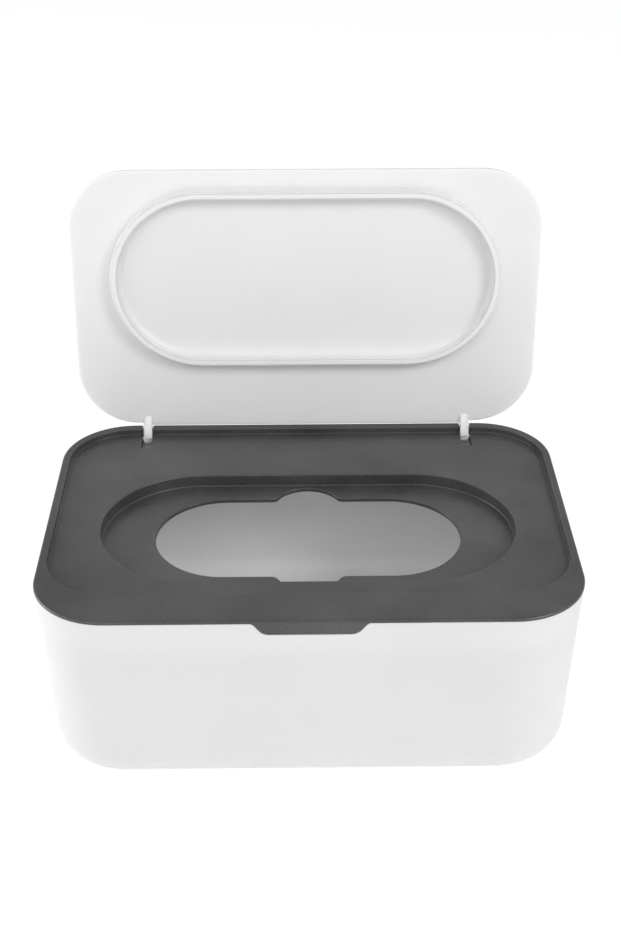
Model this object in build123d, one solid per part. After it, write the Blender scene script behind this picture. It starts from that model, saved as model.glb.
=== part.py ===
from build123d import *
import os

os.makedirs("parts", exist_ok=True)

# Wipes dispenser. Millimetres, +Z up, +Y to the back, X across. The origin is
# the middle of the box on the table, and the soft feet touch the table.

# overall sizes
width = 190.0             # across the grey top frame
depth = 134.6             # front to back over the grey top frame
height = 70.75            # underside of the box to the top of the frame's rim
corner_r = 26.5           # plan corner radius of the frame
stand = 0.3               # how far the soft feet stand out below the box

# white box
box_inset_top = 0.2       # box wall stands in from the frame's edge
box_inset_bottom = 2.85   # the walls lean in towards the bottom
box_bottom_r = 27.4       # plan corner radius at the bottom
box_wall = 2.2
box_floor = 2.4
box_edge_r = 9.6          # round edge between walls and floor, outside
box_inner_edge_r = 7.6    # the same edge inside
lip_thick = 1.1           # thin lip that laps outside the frame's collar
lip_edge_r = 0.3

# soft feet
foot_r = 6.0
foot_thick = 1.4
foot_inset_x = 29.0       # middle of each foot from the frame's side
foot_inset_y = 27.3
foot_edge_r = 0.24

# grey top frame
skirt = 1.05              # visible height of the frame's edge
rim_side = 3.0            # width of the thin rim at the sides
rim_back = 4.0            # width of the thin rim at the back
front_band = 16.3         # width of the flat band along the front
tray_depth = 2.45         # the lid lies this deep in the frame
tray_r = 23.0
panel = 2.0               # thickness of the sunken panel
collar_thick = 2.0        # collar that plugs into the mouth of the box
collar_drop = 5.6         # how far the collar reaches below the skirt
lap_gap = 0.3             # free space between collar and lip
rim_edge_r = 0.85
rim_inner_edge_r = 0.35
tray_foot_r = 0.25

# oval recess, which the lid's rib drops into, and the opening for the wipes
recess_side = 16.4        # recess to the side of the tray
recess_front = 10.45
recess_back = 32.45
recess_depth = 4.75       # below the sunken panel
recess_wall = 1.8
recess_floor = 1.4
recess_edge_r = 0.4
recess_foot_r = 0.4
shelf_side = 19.75        # width of the floor left round the opening
shelf_front = 9.9
bump_r = 12.7             # round finger bump, front and back of the opening
bump_rise = 7.8
bump_blend_r = 3.0
hole_edge_r = 0.3

# front pull tab
tab_top_half = 20.9
tab_low_half = 13.3
tab_drop = 4.53           # below the frame's edge
tab_thick = 2.0
tab_gap = 0.3             # free space round the tab in the box's notch
tab_top_bend = 0.49       # how far the S of each side bends, as a share of its width
tab_low_bend = 0.59
tab_edge_r = 0.4

# hinges
hinge_inset = 31.5        # middle of each hinge from the frame's side
hinge_set = 0.75          # pin in front of the tray's back wall
hinge_drop = 3.8          # pin below the rim
open_angle = 94.0         # turn of the lid from shut to the pose in the photo
knuckle_r = 1.9
pin_r = 0.9
pin_run = 0.06            # running clearance round the pin in the knuckle
arm_width = 3.25
arm_root = 4.0            # how far the arm reaches onto the lid
tongue_wide = 2.4         # raised tongue on the inner part of each arm
tongue_proud = 0.3        # tongue stands off the knuckle
tongue_short = 0.35       # tongue ends this far before the pin
tongue_r = 0.9            # its end is rounded in plan
nose_r = 1.2              # and seen from the side
swell_start = 0.8         # the tongue rises steeply over this length
swell_rise = 1.2
swell_end = 3.0           # and flattens out over this length
groove_wide = 0.4         # groove round the end of the tongue
groove_deep = 0.5
slot_width = 4.1
slot_shift = 0.27         # slot sits this much further out than its arm
slot_front_gap = 0.3
notch_flare = 0.3         # the notch in the back rim opens out by this much
flare_depth = 0.4
cheek = 2.5               # boss on either side of the slot that holds the pin
cheek_drop = 1.9          # boss below the underside of the panel
cheek_long = 5.6

# lid
lid_side_gap = 2.1        # shut lid to the walls of the tray
lid_front_gap = 3.9
lid_back_gap = 6.07       # between the hinges
lid_shoulder = 1.03       # outside the hinges the lid is this much shorter
lid_r = 23.4
lid_gap = 0.15            # shut lid floats this far above the panel
lid_edge_r = 0.8
lid_inner_edge_r = 0.35
rib_side_gap = 0.95       # rib to the wall of the recess
rib_end_gap = 0.8
rib_wide = 2.9
rib_high = 4.5
rib_edge_r = 0.3
rib_foot_r = 1.8          # soft blend inside the rib
rib_foot_out_r = 0.5
seal_wide = 1.7
seal_groove = 1.2
seal_proud = 0.25
seal_edge_r = 0.2

# cutting tools
clear = 1.0               # how far a tool runs past the face that it cuts
far = 30.0                # reach of a tool that runs clear of the part
merge = 0.2               # overlap of joined solids, so that they become one
hair = 0.05               # reading tolerance when edges are picked

# derived places
rim_top = stand + height
skirt_low = rim_top - skirt
panel_top = rim_top - tray_depth
panel_low = panel_top - panel
recess_top = panel_top - recess_depth
recess_low = recess_top - recess_floor
half_x = width / 2
half_y = depth / 2
foot_x = half_x - foot_inset_x
foot_y = half_y - foot_inset_y
tray_half_x = half_x - rim_side
tray_back = half_y - rim_back
tray_front = front_band - half_y
tray_half_y = (tray_back - tray_front) / 2
tray_y = (tray_back + tray_front) / 2
recess_half_x = tray_half_x - recess_side
recess_half_y = tray_half_y - (recess_front + recess_back) / 2
recess_y = tray_front + recess_front + recess_half_y
hole_half_x = recess_half_x - shelf_side
hole_half_y = recess_half_y - shelf_front
collar_inset = box_inset_top + lip_thick + lap_gap
collar_half_x = half_x - collar_inset
collar_half_y = half_y - collar_inset
collar_r = corner_r - collar_inset
collar_low = skirt_low - collar_drop
hinge_x = half_x - hinge_inset
hinge_y = tray_back - hinge_set
pivot_z = rim_top - hinge_drop
lid_low = panel_top + lid_gap
lid_top = rim_top
lid_back = tray_back - lid_back_gap
lid_side_back = lid_back - lid_shoulder
lid_front = tray_front + lid_front_gap
lid_half_x = tray_half_x - lid_side_gap
arm_front = lid_back - arm_root
slot_front = arm_front - slot_front_gap
rib_half_x = recess_half_x - rib_side_gap
rib_half_y = recess_half_y - rib_end_gap
rib_low = lid_low - rib_high
seal_inset = (rib_wide - seal_wide) / 2


def block(hx, hy, r, z_low, z_high, y_mid=0.0):
    """Upright plate with a rounded rectangular outline."""
    outline = Pos(0, y_mid, z_low) * RectangleRounded(2 * hx, 2 * hy, r)
    return extrude(outline, z_high - z_low)


def oval(hx, hy, z_low, z_high, y_mid=0.0):
    """Upright plate with a stadium outline."""
    outline = Pos(0, y_mid, z_low) * SlotOverall(2 * hx, 2 * hy)
    return extrude(outline, z_high - z_low)


def brick(x, y_low, y_high, z_low, z_high, wide):
    """Square-cornered tool centred on x."""
    corner = (Align.CENTER, Align.MIN, Align.MIN)
    return Pos(x, y_low, z_low) * Box(wide, y_high - y_low, z_high - z_low, align=corner)


def edges_at(part, z, inside_x, inside_y, y_mid=0.0):
    """Level edges at height z that stay within a box about (0, y_mid)."""
    picked = []
    for edge in part.edges():
        bb = edge.bounding_box()
        level = abs(bb.min.Z - z) < hair and abs(bb.max.Z - z) < hair
        reach_x = max(-bb.min.X, bb.max.X)
        reach_y = max(y_mid - bb.min.Y, bb.max.Y - y_mid)
        if level and reach_x < inside_x + hair and reach_y < inside_y + hair:
            picked.append(edge)
    return picked


def tub(inset, bottom_inset, z_low, z_high, r_top, r_bottom, edge_r):
    """Tapered tub body: outline insets counted from the frame's outline."""
    low = Pos(0, 0, z_low) * RectangleRounded(
        width - 2 * bottom_inset, depth - 2 * bottom_inset, r_bottom)
    high = Pos(0, 0, z_high) * RectangleRounded(width - 2 * inset, depth - 2 * inset, r_top)
    body = loft([low, high])
    return fillet(body.edges().group_by(Axis.Z)[0], edge_r)


def tab_outline(grow, top):
    """S-sided outline of the pull tab, drawn on the XZ plane."""
    low = skirt_low - tab_drop - grow
    wide = tab_top_half + grow
    narrow = tab_low_half + grow
    top_bend = wide - (wide - narrow) * tab_top_bend
    low_bend = narrow + (wide - narrow) * tab_low_bend
    right = Bezier((wide, skirt_low), (top_bend, skirt_low), (low_bend, low), (narrow, low))
    left = Bezier((-narrow, low), (-low_bend, low), (-top_bend, skirt_low), (-wide, skirt_low))
    loop = [right, Line((narrow, low), (-narrow, low)), left,
            Line((-wide, skirt_low), (-wide, top)), Line((-wide, top), (wide, top)),
            Line((wide, top), (wide, skirt_low))]
    return make_face(loop)


def make_base():
    """White tub with a lap joint round its mouth and a notch for the tab."""
    mouth = skirt_low
    outer = tub(box_inset_top, box_inset_bottom, stand, mouth,
                corner_r - box_inset_top, box_bottom_r, box_edge_r)
    outer = fillet(edges_at(outer, mouth, half_x, half_y), lip_edge_r)
    lean = (box_inset_bottom - box_inset_top) / (mouth - stand)
    inner = tub(box_inset_top + box_wall - lean * clear, box_inset_bottom + box_wall - lean * box_floor,
                stand + box_floor, mouth + clear, corner_r - box_inset_top - box_wall,
                box_bottom_r - box_wall, box_inner_edge_r)
    rebate = block(collar_half_x + lap_gap, collar_half_y + lap_gap, collar_r + lap_gap,
                   collar_low - lap_gap, mouth + clear)
    notch_back = half_y - tab_thick - tab_gap
    notch = extrude(Plane.XZ.offset(notch_back) * tab_outline(tab_gap, mouth + clear), far)
    body = outer - inner - rebate - notch
    for x in (-foot_x, foot_x):
        for y in (-foot_y, foot_y):
            seat = Cylinder(foot_r, foot_thick - stand, align=(Align.CENTER, Align.CENTER, Align.MIN))
            body -= Pos(x, y, stand) * seat
    return body


def make_foot(x, y):
    """Soft round pad pressed into a shallow seat under the box."""
    pad = Cylinder(foot_r, foot_thick, align=(Align.CENTER, Align.CENTER, Align.MIN))
    pad = fillet(pad.edges().group_by(Axis.Z)[0], foot_edge_r)
    return Pos(x, y, 0) * pad


def tray_block(grow, z_low, z_high):
    """Sunken field that the lid lies in."""
    return block(tray_half_x + grow, tray_half_y + grow, tray_r + grow, z_low, z_high, tray_y)


def hole_outline():
    """Opening for the wipes: a stadium with a round bump front and back."""
    reach = hole_half_y + bump_rise - bump_r
    face = SlotOverall(2 * hole_half_x, 2 * hole_half_y)
    face += Pos(0, reach) * Circle(bump_r) + Pos(0, -reach) * Circle(bump_r)
    inner = [v for v in face.vertices() if abs(v.X) < bump_r + hair and abs(abs(v.Y) - hole_half_y) < hair]
    return fillet(inner, bump_blend_r)


def make_frame():
    """Grey top moulding: rim, front band, sunken panel, recess and tab."""
    body = block(half_x, half_y, corner_r, skirt_low, rim_top)
    body = fillet(body.edges().group_by(Axis.Z)[-1], rim_edge_r)
    collar = block(collar_half_x, collar_half_y, collar_r, collar_low, skirt_low)
    bore = block(collar_half_x - collar_thick, collar_half_y - collar_thick, collar_r - collar_thick,
                 collar_low, skirt_low)
    tray = tray_block(panel, panel_low, skirt_low) & collar
    cup = oval(recess_half_x + recess_wall, recess_half_y + recess_wall, recess_low, panel_top, recess_y)
    field = fillet(tray_block(0, panel_top, rim_top + clear).edges().group_by(Axis.Z)[0], tray_foot_r)
    body = body + (collar - bore) + tray + cup - field
    bowl = oval(recess_half_x, recess_half_y, recess_top, panel_top + clear, recess_y)
    body -= fillet(bowl.edges().group_by(Axis.Z)[0], recess_foot_r)
    body -= extrude(Pos(0, recess_y, recess_low - clear) * hole_outline(), recess_floor + 2 * clear)
    body = fillet(edges_at(body, rim_top, tray_half_x, tray_half_y, tray_y), rim_inner_edge_r)
    body = fillet(edges_at(body, panel_top, recess_half_x, recess_half_y, recess_y), recess_edge_r)
    body = fillet(edges_at(body, recess_top, hole_half_x, hole_half_y + bump_rise, recess_y), hole_edge_r)
    return add_hinge_seats(body + make_tab())


def make_tab():
    """Pull tab that hangs from the front of the frame, its lower edge rounded."""
    tab = extrude(Plane.XZ.offset(half_y - tab_thick) * tab_outline(0, skirt_low + skirt / 3), tab_thick)
    face = tab.faces().sort_by(Axis.Y)[0]
    rim = [e for e in face.edges() if e.bounding_box().max.Z < skirt_low + hair]
    return fillet(rim, tab_edge_r)


def hinge_cuts(x):
    """Slot for one arm, open to the back through the collar and the rim."""
    low = panel_low - cheek_drop - clear
    middle = x + slot_shift * (1 if x > 0 else -1)
    slot = brick(middle, slot_front, half_y + clear, low, rim_top + clear, slot_width)
    half = slot_width / 2
    flare_low = rim_top - flare_depth
    flare_face = make_face(Polyline((middle - half, flare_low), (middle + half, flare_low),
                                    (middle + half + notch_flare, rim_top),
                                    (middle - half - notch_flare, rim_top), close=True))
    flare = extrude(Plane.XZ.offset(-half_y - clear) * flare_face, rim_back + 2 * clear)
    return slot + flare


def add_hinge_seats(body):
    """Bosses beside each slot, the slots themselves and the pin bores."""
    keep = block(collar_half_x, collar_half_y, collar_r, collar_low, skirt_low)
    for x in (-hinge_x, hinge_x):
        boss = brick(x, hinge_y - cheek_long / 2, hinge_y + cheek_long / 2,
                     panel_low - cheek_drop, panel_low + panel / 2, slot_width + 2 * cheek)
        body += boss & keep
        body -= hinge_cuts(x)
        body -= make_pin(x)
    return body


def make_pin(x):
    """Plain round pin through both bosses and the knuckle of the arm."""
    return Pos(x, hinge_y, pivot_z) * Rot(0, 90, 0) * Cylinder(pin_r, slot_width + 2 * cheek)


def arm_plate(x):
    """Body of a hinge arm, shut: its knuckle drawn out onto the lid."""
    knuckle = Pos(hinge_y, pivot_z) * Circle(knuckle_r)
    root = Polyline((arm_front, lid_low + merge), (lid_side_back, lid_low + merge),
                    (lid_back - lid_edge_r, lid_top - lid_edge_r), (arm_front, lid_top - lid_edge_r),
                    close=True)
    return extrude(Plane.YZ.offset(x - arm_width / 2) * make_hull(knuckle.edges() + root.edges()), arm_width)


def tongue_plan(middle, grow):
    """Plan outline of the tongue, square on the lid and round at its free end."""
    back = hinge_y - tongue_short + grow
    long = back - arm_front + far
    return Pos(middle, back - long / 2) * RectangleRounded(tongue_wide + 2 * grow, long, tongue_r + grow)


def tongue_side(low, reach):
    """Side outline of the tongue: it swells out of the lid and ends in a round nose."""
    full = hinge_y - knuckle_r
    swell = Bezier((arm_front, lid_low), (arm_front + swell_start, lid_low - swell_rise),
                   (full - swell_end, low), (full, low))
    rest = Polyline((full, low), (reach, low), (reach, pivot_z), (arm_front, lid_low + merge),
                    (arm_front, lid_low))
    face = make_face([swell, rest])
    nose = [v for v in face.vertices() if abs(v.X - reach) < hair and abs(v.Y - low) < hair]
    return fillet(nose, nose_r)


def make_arm(x):
    """One hinge arm: a bar with a raised tongue, and a groove round the tongue's free end."""
    side = 1 if x > 0 else -1
    middle = x - side * (arm_width - tongue_wide) / 2
    knuckle_low = pivot_z - knuckle_r
    tongue_low = knuckle_low - tongue_proud
    groove = extrude(Pos(0, 0, tongue_low) * (tongue_plan(middle, groove_wide) - tongue_plan(middle, 0)),
                     tongue_proud + groove_deep)
    groove &= brick(x, hinge_y - knuckle_r, hinge_y + knuckle_r, tongue_low, knuckle_low + groove_deep,
                    2 * arm_width)
    side_face = tongue_side(tongue_low, hinge_y - tongue_short)
    tongue = extrude(Plane.YZ.offset(middle - tongue_wide / 2) * side_face, tongue_wide)
    tongue &= extrude(Pos(0, 0, tongue_low) * tongue_plan(middle, 0), lid_top - tongue_low)
    bore = Pos(x, hinge_y, pivot_z) * Rot(0, 90, 0) * Cylinder(pin_r + pin_run, arm_width + clear)
    return arm_plate(x) - groove + tongue, bore


def open_lid(part):
    """Swing a piece from its shut place to the open pose."""
    return part.rotate(Axis((0, hinge_y, pivot_z), (1, 0, 0)), -open_angle)


def lid_plate():
    """Lid panel, a little longer between the hinges than outside them."""
    half_long = (lid_side_back - lid_front) / 2
    face = Pos(0, lid_front + half_long) * RectangleRounded(2 * lid_half_x, 2 * half_long, lid_r)
    face += Pos(0, lid_back - lid_r) * Rectangle(2 * hinge_x, 2 * lid_r)
    plate = extrude(Pos(0, 0, lid_low) * face, lid_top - lid_low)
    plate = fillet(plate.edges().group_by(Axis.Z)[-1], lid_edge_r)
    return fillet(plate.edges().group_by(Axis.Z)[0], lid_inner_edge_r)


def make_lid():
    """White lid plate with its oval rib and two hinge arms, built shut."""
    rib = oval(rib_half_x, rib_half_y, rib_low, lid_low + merge, recess_y)
    room_x = rib_half_x - rib_wide
    room_y = rib_half_y - rib_wide
    body = lid_plate() + rib - oval(room_x, room_y, rib_low, lid_low, recess_y)
    body = fillet(edges_at(body, lid_low, room_x, room_y, recess_y), rib_foot_r)
    body = fillet(edges_at(body, lid_low, rib_half_x, rib_half_y, recess_y), rib_foot_out_r)
    body = fillet(edges_at(body, rib_low, rib_half_x, rib_half_y, recess_y), rib_edge_r)
    body -= seal_ring(rib_low, rib_low + seal_groove)
    for x in (-hinge_x, hinge_x):
        arm, bore = make_arm(x)
        body = body + arm - bore
    return open_lid(body)


def seal_ring(z_low, z_high):
    """Oval strip that follows the middle of the rib."""
    outer_x = rib_half_x - seal_inset
    outer_y = rib_half_y - seal_inset
    outer = oval(outer_x, outer_y, z_low, z_high, recess_y)
    return outer - oval(outer_x - seal_wide, outer_y - seal_wide, z_low, z_high, recess_y)


def make_seal():
    """Soft strip set in the end of the rib."""
    ring = seal_ring(rib_low - seal_proud, rib_low + seal_groove)
    ring = fillet(ring.edges().group_by(Axis.Z)[0], seal_edge_r)
    return open_lid(ring)


def save(part, name):
    export_step(part, os.path.join("parts", name + ".step"))


save(make_base(), "base_box")
save(make_frame(), "top_frame")
save(make_lid(), "lid")
save(make_seal(), "lid_seal")
save(make_pin(-hinge_x), "hinge_pin_left")
save(make_pin(hinge_x), "hinge_pin_right")
save(make_foot(-foot_x, -foot_y), "foot_front_left")
save(make_foot(foot_x, -foot_y), "foot_front_right")
save(make_foot(-foot_x, foot_y), "foot_back_left")
save(make_foot(foot_x, foot_y), "foot_back_right")
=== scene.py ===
import math

import bpy
from mathutils import Matrix, Vector

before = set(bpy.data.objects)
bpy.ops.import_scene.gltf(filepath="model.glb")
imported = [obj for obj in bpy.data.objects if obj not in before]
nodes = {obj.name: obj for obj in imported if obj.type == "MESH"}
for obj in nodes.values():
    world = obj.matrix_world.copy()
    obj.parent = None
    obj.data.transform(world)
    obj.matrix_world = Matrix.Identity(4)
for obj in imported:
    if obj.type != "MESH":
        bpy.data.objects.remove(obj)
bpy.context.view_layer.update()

# The box that holds the wipes. It is polypropylene, injection moulded in one piece with an open top and soft
# rounded edges, and its mould was spark eroded, which leaves a fine satin grain on the outside.

MM = 0.001


def linear(colour):
    """An sRGB hex colour as the linear red, green, blue and alpha that a shader takes."""
    parts = [int(colour[i:i + 2], 16) / 255 for i in (1, 3, 5)]
    return [c / 12.92 if c <= 0.04045 else ((c + 0.055) / 1.055) ** 2.4 for c in parts] + [1.0]


def add(tree, kind, settings=None, links=None):
    """Adds one node. A setting is a property or an input's value, and a link feeds an input."""
    node = tree.nodes.new(kind)
    for name, value in (settings or {}).items():
        if isinstance(name, str) and hasattr(node, name):
            setattr(node, name, value)
        else:
            node.inputs[name].default_value = value
    for name, source in (links or {}).items():
        tree.links.new(source, node.inputs[name])
    return node


def start_material(name):
    """A new material, its node tree, its shader, and the place on the piece that patterns read."""
    material = bpy.data.materials.new(name)
    material.use_nodes = True
    tree = material.node_tree
    return material, tree, tree.nodes["Principled BSDF"], add(tree, "ShaderNodeTexCoord").outputs["Object"]


def two_tone(tree, shader, pattern, dark, light):
    """Colours a piece from dark to light over the middle of a noise pattern."""
    ramp = add(tree, "ShaderNodeValToRGB", links={0: pattern})
    for stop, position, colour in zip(ramp.color_ramp.elements, (0.35, 0.65), (dark, light)):
        stop.position = position
        stop.color = linear(colour)
    tree.links.new(ramp.outputs["Color"], shader.inputs["Base Color"])


def texture(tree, shader, pattern, roughness, strength, distance, edges=None):
    """Spreads a piece's roughness between two values by a noise pattern, and raises it as relief."""
    spread = add(tree, "ShaderNodeMapRange",
                 {"From Min": 0.3, "From Max": 0.7, "To Min": roughness[0], "To Max": roughness[1]},
                 {"Value": pattern})
    relief = add(tree, "ShaderNodeBump", {"Strength": strength, "Distance": distance},
                 {"Height": pattern})
    if edges:
        tree.links.new(edges, relief.inputs["Normal"])
    tree.links.new(spread.outputs["Result"], shader.inputs["Roughness"])
    tree.links.new(relief.outputs["Normal"], shader.inputs["Normal"])


def soak(shader, weight, reach):
    """Lets light soak into the plastic and come out again, as far for every colour."""
    shader.inputs["Subsurface Weight"].default_value = weight
    shader.inputs["Subsurface Radius"].default_value = (1.0, 1.0, 1.0)
    shader.inputs["Subsurface Scale"].default_value = reach


def dress(material, *names):
    """Gives CAD nodes this material alone."""
    for name in names:
        nodes[name].data.materials.clear()
        nodes[name].data.materials.append(material)


# White polypropylene from a spark-eroded mould. The eye gets a broad soft sheen, a fine grain, faint clouds
# from the flow of the melt, and light that soaks into the wall, so that the inside glows. The real grain is
# about 0.1 mm, too fine to show, and is drawn at 0.5 mm.
POLYPROPYLENE_IOR = 1.49
WHITE_GRAIN = 0.5 * MM
WHITE_CLOUD = 40 * MM
WHITE_SOAK = 6 * MM
# The frame's grey collar stands close behind the lip and would take the light that soaks in there and shade
# that band. The soak is cut between these two heights, the upper of which is just below the collar's foot,
# so the band stays as light as the wall below, which is painted light.
FADE_FROM = 54 * MM
FADE_TO = 64 * MM
GLOW_AT_LIP = 0.12

white_polypropylene, tree, shader, place = start_material("white_polypropylene_satin")
clouds = add(tree, "ShaderNodeTexNoise", {"Scale": 1 / WHITE_CLOUD, "Detail": 2.0}, {"Vector": place})
grain = add(tree, "ShaderNodeTexNoise", {"Scale": 1 / WHITE_GRAIN, "Detail": 3.0, "Roughness": 0.6},
            {"Vector": place})
height = add(tree, "ShaderNodeSeparateXYZ", links={"Vector": place})
# Painted light: less soak towards the lip, so that no shade from the collar shows on the band there.
glow = add(tree, "ShaderNodeMapRange",
           {"From Min": FADE_FROM, "From Max": FADE_TO, "To Min": 1.0, "To Max": GLOW_AT_LIP},
           {"Value": height.outputs["Z"]})
shader.inputs["IOR"].default_value = POLYPROPYLENE_IOR
soak(shader, 1.0, WHITE_SOAK)
tree.links.new(glow.outputs["Result"], shader.inputs["Subsurface Weight"])
two_tone(tree, shader, clouds.outputs["Fac"], "#dadada", "#dddddd")
texture(tree, shader, grain.outputs["Fac"], (0.40, 0.50), 0.12, 0.02 * MM)
dress(white_polypropylene, "base_box")

# The grey top frame. It is polypropylene coloured through with grey, moulded in one piece with its rim,
# tray, oval recess, pull-out hole and front tab, and it drops into the box on a collar.

# Grey polypropylene from the same kind of mould. The eye gets a dark satin grey with a visible fine speckle,
# soft uneven patches where the pigment is a little denser, and a thin pale line of light on each rounded
# edge. The real speckle is about 0.2 mm, too fine to show, and is drawn at 0.8 mm.
GREY_GRAIN = 0.8 * MM
GREY_CLOUD = 25 * MM
GREY_EDGE = 0.35 * MM

grey_polypropylene, tree, shader, place = start_material("grey_polypropylene_satin")
clouds = add(tree, "ShaderNodeTexNoise", {"Scale": 1 / GREY_CLOUD, "Detail": 3.0}, {"Vector": place})
grain = add(tree, "ShaderNodeTexNoise", {"Scale": 1 / GREY_GRAIN, "Detail": 3.0, "Roughness": 0.65},
            {"Vector": place})
mottle = add(tree, "ShaderNodeMix", {"data_type": "FLOAT", 0: 0.55},
             {2: clouds.outputs["Fac"], 3: grain.outputs["Fac"]})
edges = add(tree, "ShaderNodeBevel", {"samples": 6, "Radius": GREY_EDGE})
shader.inputs["IOR"].default_value = POLYPROPYLENE_IOR
shader.inputs["Specular IOR Level"].default_value = 0.7
two_tone(tree, shader, mottle.outputs[0], "#313131", "#4a4a4a")
texture(tree, shader, grain.outputs["Fac"], (0.30, 0.42), 0.3, 0.03 * MM, edges.outputs["Normal"])
dress(grey_polypropylene, "top_frame")

# The lid. It is a flat white polypropylene plate moulded in one piece with the oval rib on its inside and
# the two hinge arms at its back, and it is a touch glossier than the box. Its white is painted a touch
# lighter than the box's, as painted light that brightens the lid against the box.

# Lid polypropylene from a finer mould. The eye gets a clean white with a slightly tighter sheen, and a hint
# of softness at the edges where light passes through. The white is a touch lighter than the box's, which is
# painted light. Its grain of about 0.05 mm is drawn at 0.35 mm, the finest that shows.
LID_GRAIN = 0.35 * MM
LID_CLOUD = 50 * MM
LID_SOAK = 2.5 * MM

lid_polypropylene, tree, shader, place = start_material("white_polypropylene_fine_satin")
clouds = add(tree, "ShaderNodeTexNoise", {"Scale": 1 / LID_CLOUD, "Detail": 2.0}, {"Vector": place})
grain = add(tree, "ShaderNodeTexNoise", {"Scale": 1 / LID_GRAIN, "Detail": 2.0, "Roughness": 0.6},
            {"Vector": place})
shader.inputs["IOR"].default_value = POLYPROPYLENE_IOR
soak(shader, 0.8, LID_SOAK)
# Painted light: the lid's two whites are a touch lighter than the box's, to brighten the lid against the
# box.
two_tone(tree, shader, clouds.outputs["Fac"], "#e4e4e4", "#e6e6e6")
texture(tree, shader, grain.outputs["Fac"], (0.36, 0.46), 0.08, 0.02 * MM)
dress(lid_polypropylene, "lid")

# The lid seal. It is a strip of white silicone, extruded, cut and joined into an oval loop, and pressed into
# a groove in the end of the lid's rib, so that the shut lid keeps the wipes moist.

# White silicone rubber. The eye gets almost the white of the rib with a softer, rounder sheen, and the
# specks of dust that silicone always holds on to, which are drawn at 0.8 mm because real ones are too fine
# to show.
SILICONE_IOR = 1.41
SEAL_DUST = 0.8 * MM
SEAL_SOAK = 0.8 * MM

white_silicone, tree, shader, place = start_material("white_silicone_rubber")
dust = add(tree, "ShaderNodeTexNoise", {"Scale": 1 / SEAL_DUST, "Detail": 4.0, "Roughness": 0.7},
           {"Vector": place})
shader.inputs["IOR"].default_value = SILICONE_IOR
soak(shader, 0.1, SEAL_SOAK)
two_tone(tree, shader, dust.outputs["Fac"], "#e7e7e7", "#eaeaea")
texture(tree, shader, dust.outputs["Fac"], (0.42, 0.60), 0.1, 0.02 * MM)
dress(white_silicone, "lid_seal")

# The hinge pins. Each is a short piece of drawn stainless steel wire, cut to length and pressed through the
# bosses of the grey frame, and the knuckle of the lid's arm turns on it.

# Drawn stainless steel. The eye gets a grey metal with fine lines along the wire from the drawing die, which
# pull the highlight into a streak. The real lines are about 0.01 mm apart, too fine to show, and are drawn
# at 0.08 mm.
DRAW_LINE = 0.08 * MM
DRAW_LENGTH = 4 * MM

stainless_steel, tree, shader, place = start_material("stainless_steel_drawn")
along = add(tree, "ShaderNodeMapping", {"Scale": (1 / DRAW_LENGTH, 1 / DRAW_LINE, 1 / DRAW_LINE)},
            {"Vector": place})
lines = add(tree, "ShaderNodeTexNoise", {"Scale": 1.0, "Detail": 2.0}, {"Vector": along.outputs["Vector"]})
shader.inputs["Metallic"].default_value = 1.0
two_tone(tree, shader, lines.outputs["Fac"], "#b9b9b9", "#c6c6c6")
texture(tree, shader, lines.outputs["Fac"], (0.22, 0.38), 0.2, 0.005 * MM)
dress(stainless_steel, "hinge_pin_left", "hinge_pin_right")

# The four feet. Each is a soft round silicone pad, punched from sheet and pressed into a shallow seat under
# the box, and it stands out by 0.3 mm, so that the box doesn't slide while a wipe is pulled.

# Milky silicone sheet. The eye gets a cloudy half-clear white with the fine matt bloom of the sheet, whose
# specks are drawn at 1.2 mm because real ones are too fine to show.
SHEET_BLOOM = 1.2 * MM
SHEET_SOAK = 4 * MM

milky_silicone, tree, shader, place = start_material("milky_silicone_sheet")
bloom = add(tree, "ShaderNodeTexNoise", {"Scale": 1 / SHEET_BLOOM, "Detail": 5.0, "Roughness": 0.7},
            {"Vector": place})
shader.inputs["IOR"].default_value = SILICONE_IOR
soak(shader, 1.0, SHEET_SOAK)
two_tone(tree, shader, bloom.outputs["Fac"], "#dedede", "#ebebeb")
texture(tree, shader, bloom.outputs["Fac"], (0.5, 0.7), 0.15, 0.03 * MM)
dress(milky_silicone, "foot_front_left", "foot_front_right", "foot_back_left", "foot_back_right")

# The studio floor: a wide table that the dispenser stands on. It is one cast sheet of opal acrylic, sanded
# matt and lit from below.

# Opal acrylic with a matt face. The eye gets an even white that glows by itself, so that shadows on it stay
# faint, and a slight haze from the sanding, which is drawn at 2 mm because the real scratches are too fine
# to show.
FLOOR_HALF = 4.0
FLOOR_HAZE = 2 * MM
FLOOR_GLOW = 0.69

floor_mesh = bpy.data.meshes.new("studio_floor")
floor_corners = [(x * FLOOR_HALF, y * FLOOR_HALF, 0) for x, y in ((-1, -1), (1, -1), (1, 1), (-1, 1))]
floor_mesh.from_pydata(floor_corners, [], [(0, 1, 2, 3)])
floor = bpy.data.objects.new("studio_floor", floor_mesh)
bpy.context.scene.collection.objects.link(floor)

opal_acrylic, tree, shader, place = start_material("opal_acrylic_matt")
haze = add(tree, "ShaderNodeTexNoise", {"Scale": 1 / FLOOR_HAZE, "Detail": 3.0}, {"Vector": place})
two_tone(tree, shader, haze.outputs["Fac"], "#a8a8a8", "#acacac")
shader.inputs["Roughness"].default_value = 0.9
shader.inputs["Specular IOR Level"].default_value = 0.1
shader.inputs["Emission Color"].default_value = linear("#ffffff")
shader.inputs["Emission Strength"].default_value = FLOOR_GLOW
floor_mesh.materials.append(opal_acrylic)

# The light: a pale tent all round, a large soft box high in front on each side, the right one brighter, a
# third low on the left, and two strips on the left and one on the right that draw pale lines on the rounded
# edges.
TENT_LIGHT = 0.51
LID_MIDDLE = (0, 0, 0.1)
BOX_MIDDLE = (0, 0, 0.05)

world = bpy.data.worlds.new("light_tent")
bpy.context.scene.world = world
world.use_nodes = True
tent = world.node_tree.nodes["Background"]
tent.inputs["Color"].default_value = linear("#ffffff")
tent.inputs["Strength"].default_value = TENT_LIGHT


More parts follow.
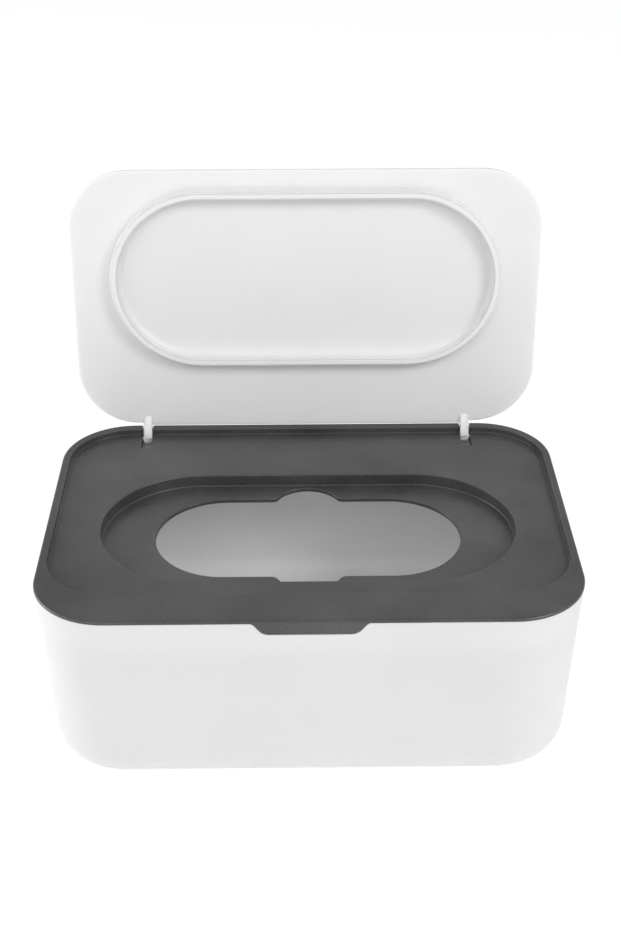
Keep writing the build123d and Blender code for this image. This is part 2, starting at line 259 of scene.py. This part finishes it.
def lamp(name, place, target, wide, tall, watts):
    """A soft box: a flat area lamp at place, turned to face target."""
    data = bpy.data.lights.new(name, "AREA")
    data.shape = "RECTANGLE"
    data.size = wide
    data.size_y = tall
    data.energy = watts
    light = bpy.data.objects.new(name, data)
    bpy.context.scene.collection.objects.link(light)
    light.matrix_world = (Matrix.Translation(Vector(place))
                          @ (Vector(place) - Vector(target)).to_track_quat("Z", "Y").to_matrix().to_4x4())


lamp("right_soft_box", (1.3, -1.2, 1.5), LID_MIDDLE, 0.8, 0.8, 21)
lamp("left_soft_box", (-0.7, -1.7, 1.7), LID_MIDDLE, 1.0, 1.0, 9)
lamp("side_soft_box", (-1.3, 0.2, 0.3), BOX_MIDDLE, 0.6, 0.6, 7)
lamp("high_strip", (-1.1, -0.3, 0.9), BOX_MIDDLE, 1.0, 0.1, 1.6)
lamp("low_strip", (-1.1, -0.3, 0.12), BOX_MIDDLE, 1.0, 0.1, 1.0)
lamp("right_strip", (1.1, -0.3, 0.5), BOX_MIDDLE, 1.0, 0.1, 0.7)

# The camera stands where the photographer's did, in front of the box and a little above it. Its place, its
# angles in degrees and its focal length in pixels of the photograph were fitted to the object's edges.
CAMERA_AT = Vector((-4.60, -487.79, 378.71)) * MM
PITCH, YAW, ROLL = (math.radians(a) for a in (30.53, 0.65, -0.12))
FOCAL_PIXELS = 1570
PHOTO_TALL = 931

forward = Vector((math.sin(YAW) * math.cos(PITCH), math.cos(YAW) * math.cos(PITCH), -math.sin(PITCH)))
level = Vector((math.cos(YAW), -math.sin(YAW), 0))
upright = level.cross(forward)
right = math.cos(ROLL) * level + math.sin(ROLL) * upright
up = math.cos(ROLL) * upright - math.sin(ROLL) * level
camera_data = bpy.data.cameras.new("camera")
camera_data.sensor_width = 36
camera_data.lens = FOCAL_PIXELS / PHOTO_TALL * camera_data.sensor_width
camera_data.clip_start = 0.01
camera = bpy.data.objects.new("camera", camera_data)
bpy.context.scene.collection.objects.link(camera)
camera.matrix_world = Matrix.Translation(CAMERA_AT) @ Matrix((right, up, -forward)).transposed().to_4x4()
bpy.context.scene.camera = camera
# Greys are shown as they are, without a film curve.
bpy.context.scene.view_settings.view_transform = "Standard"
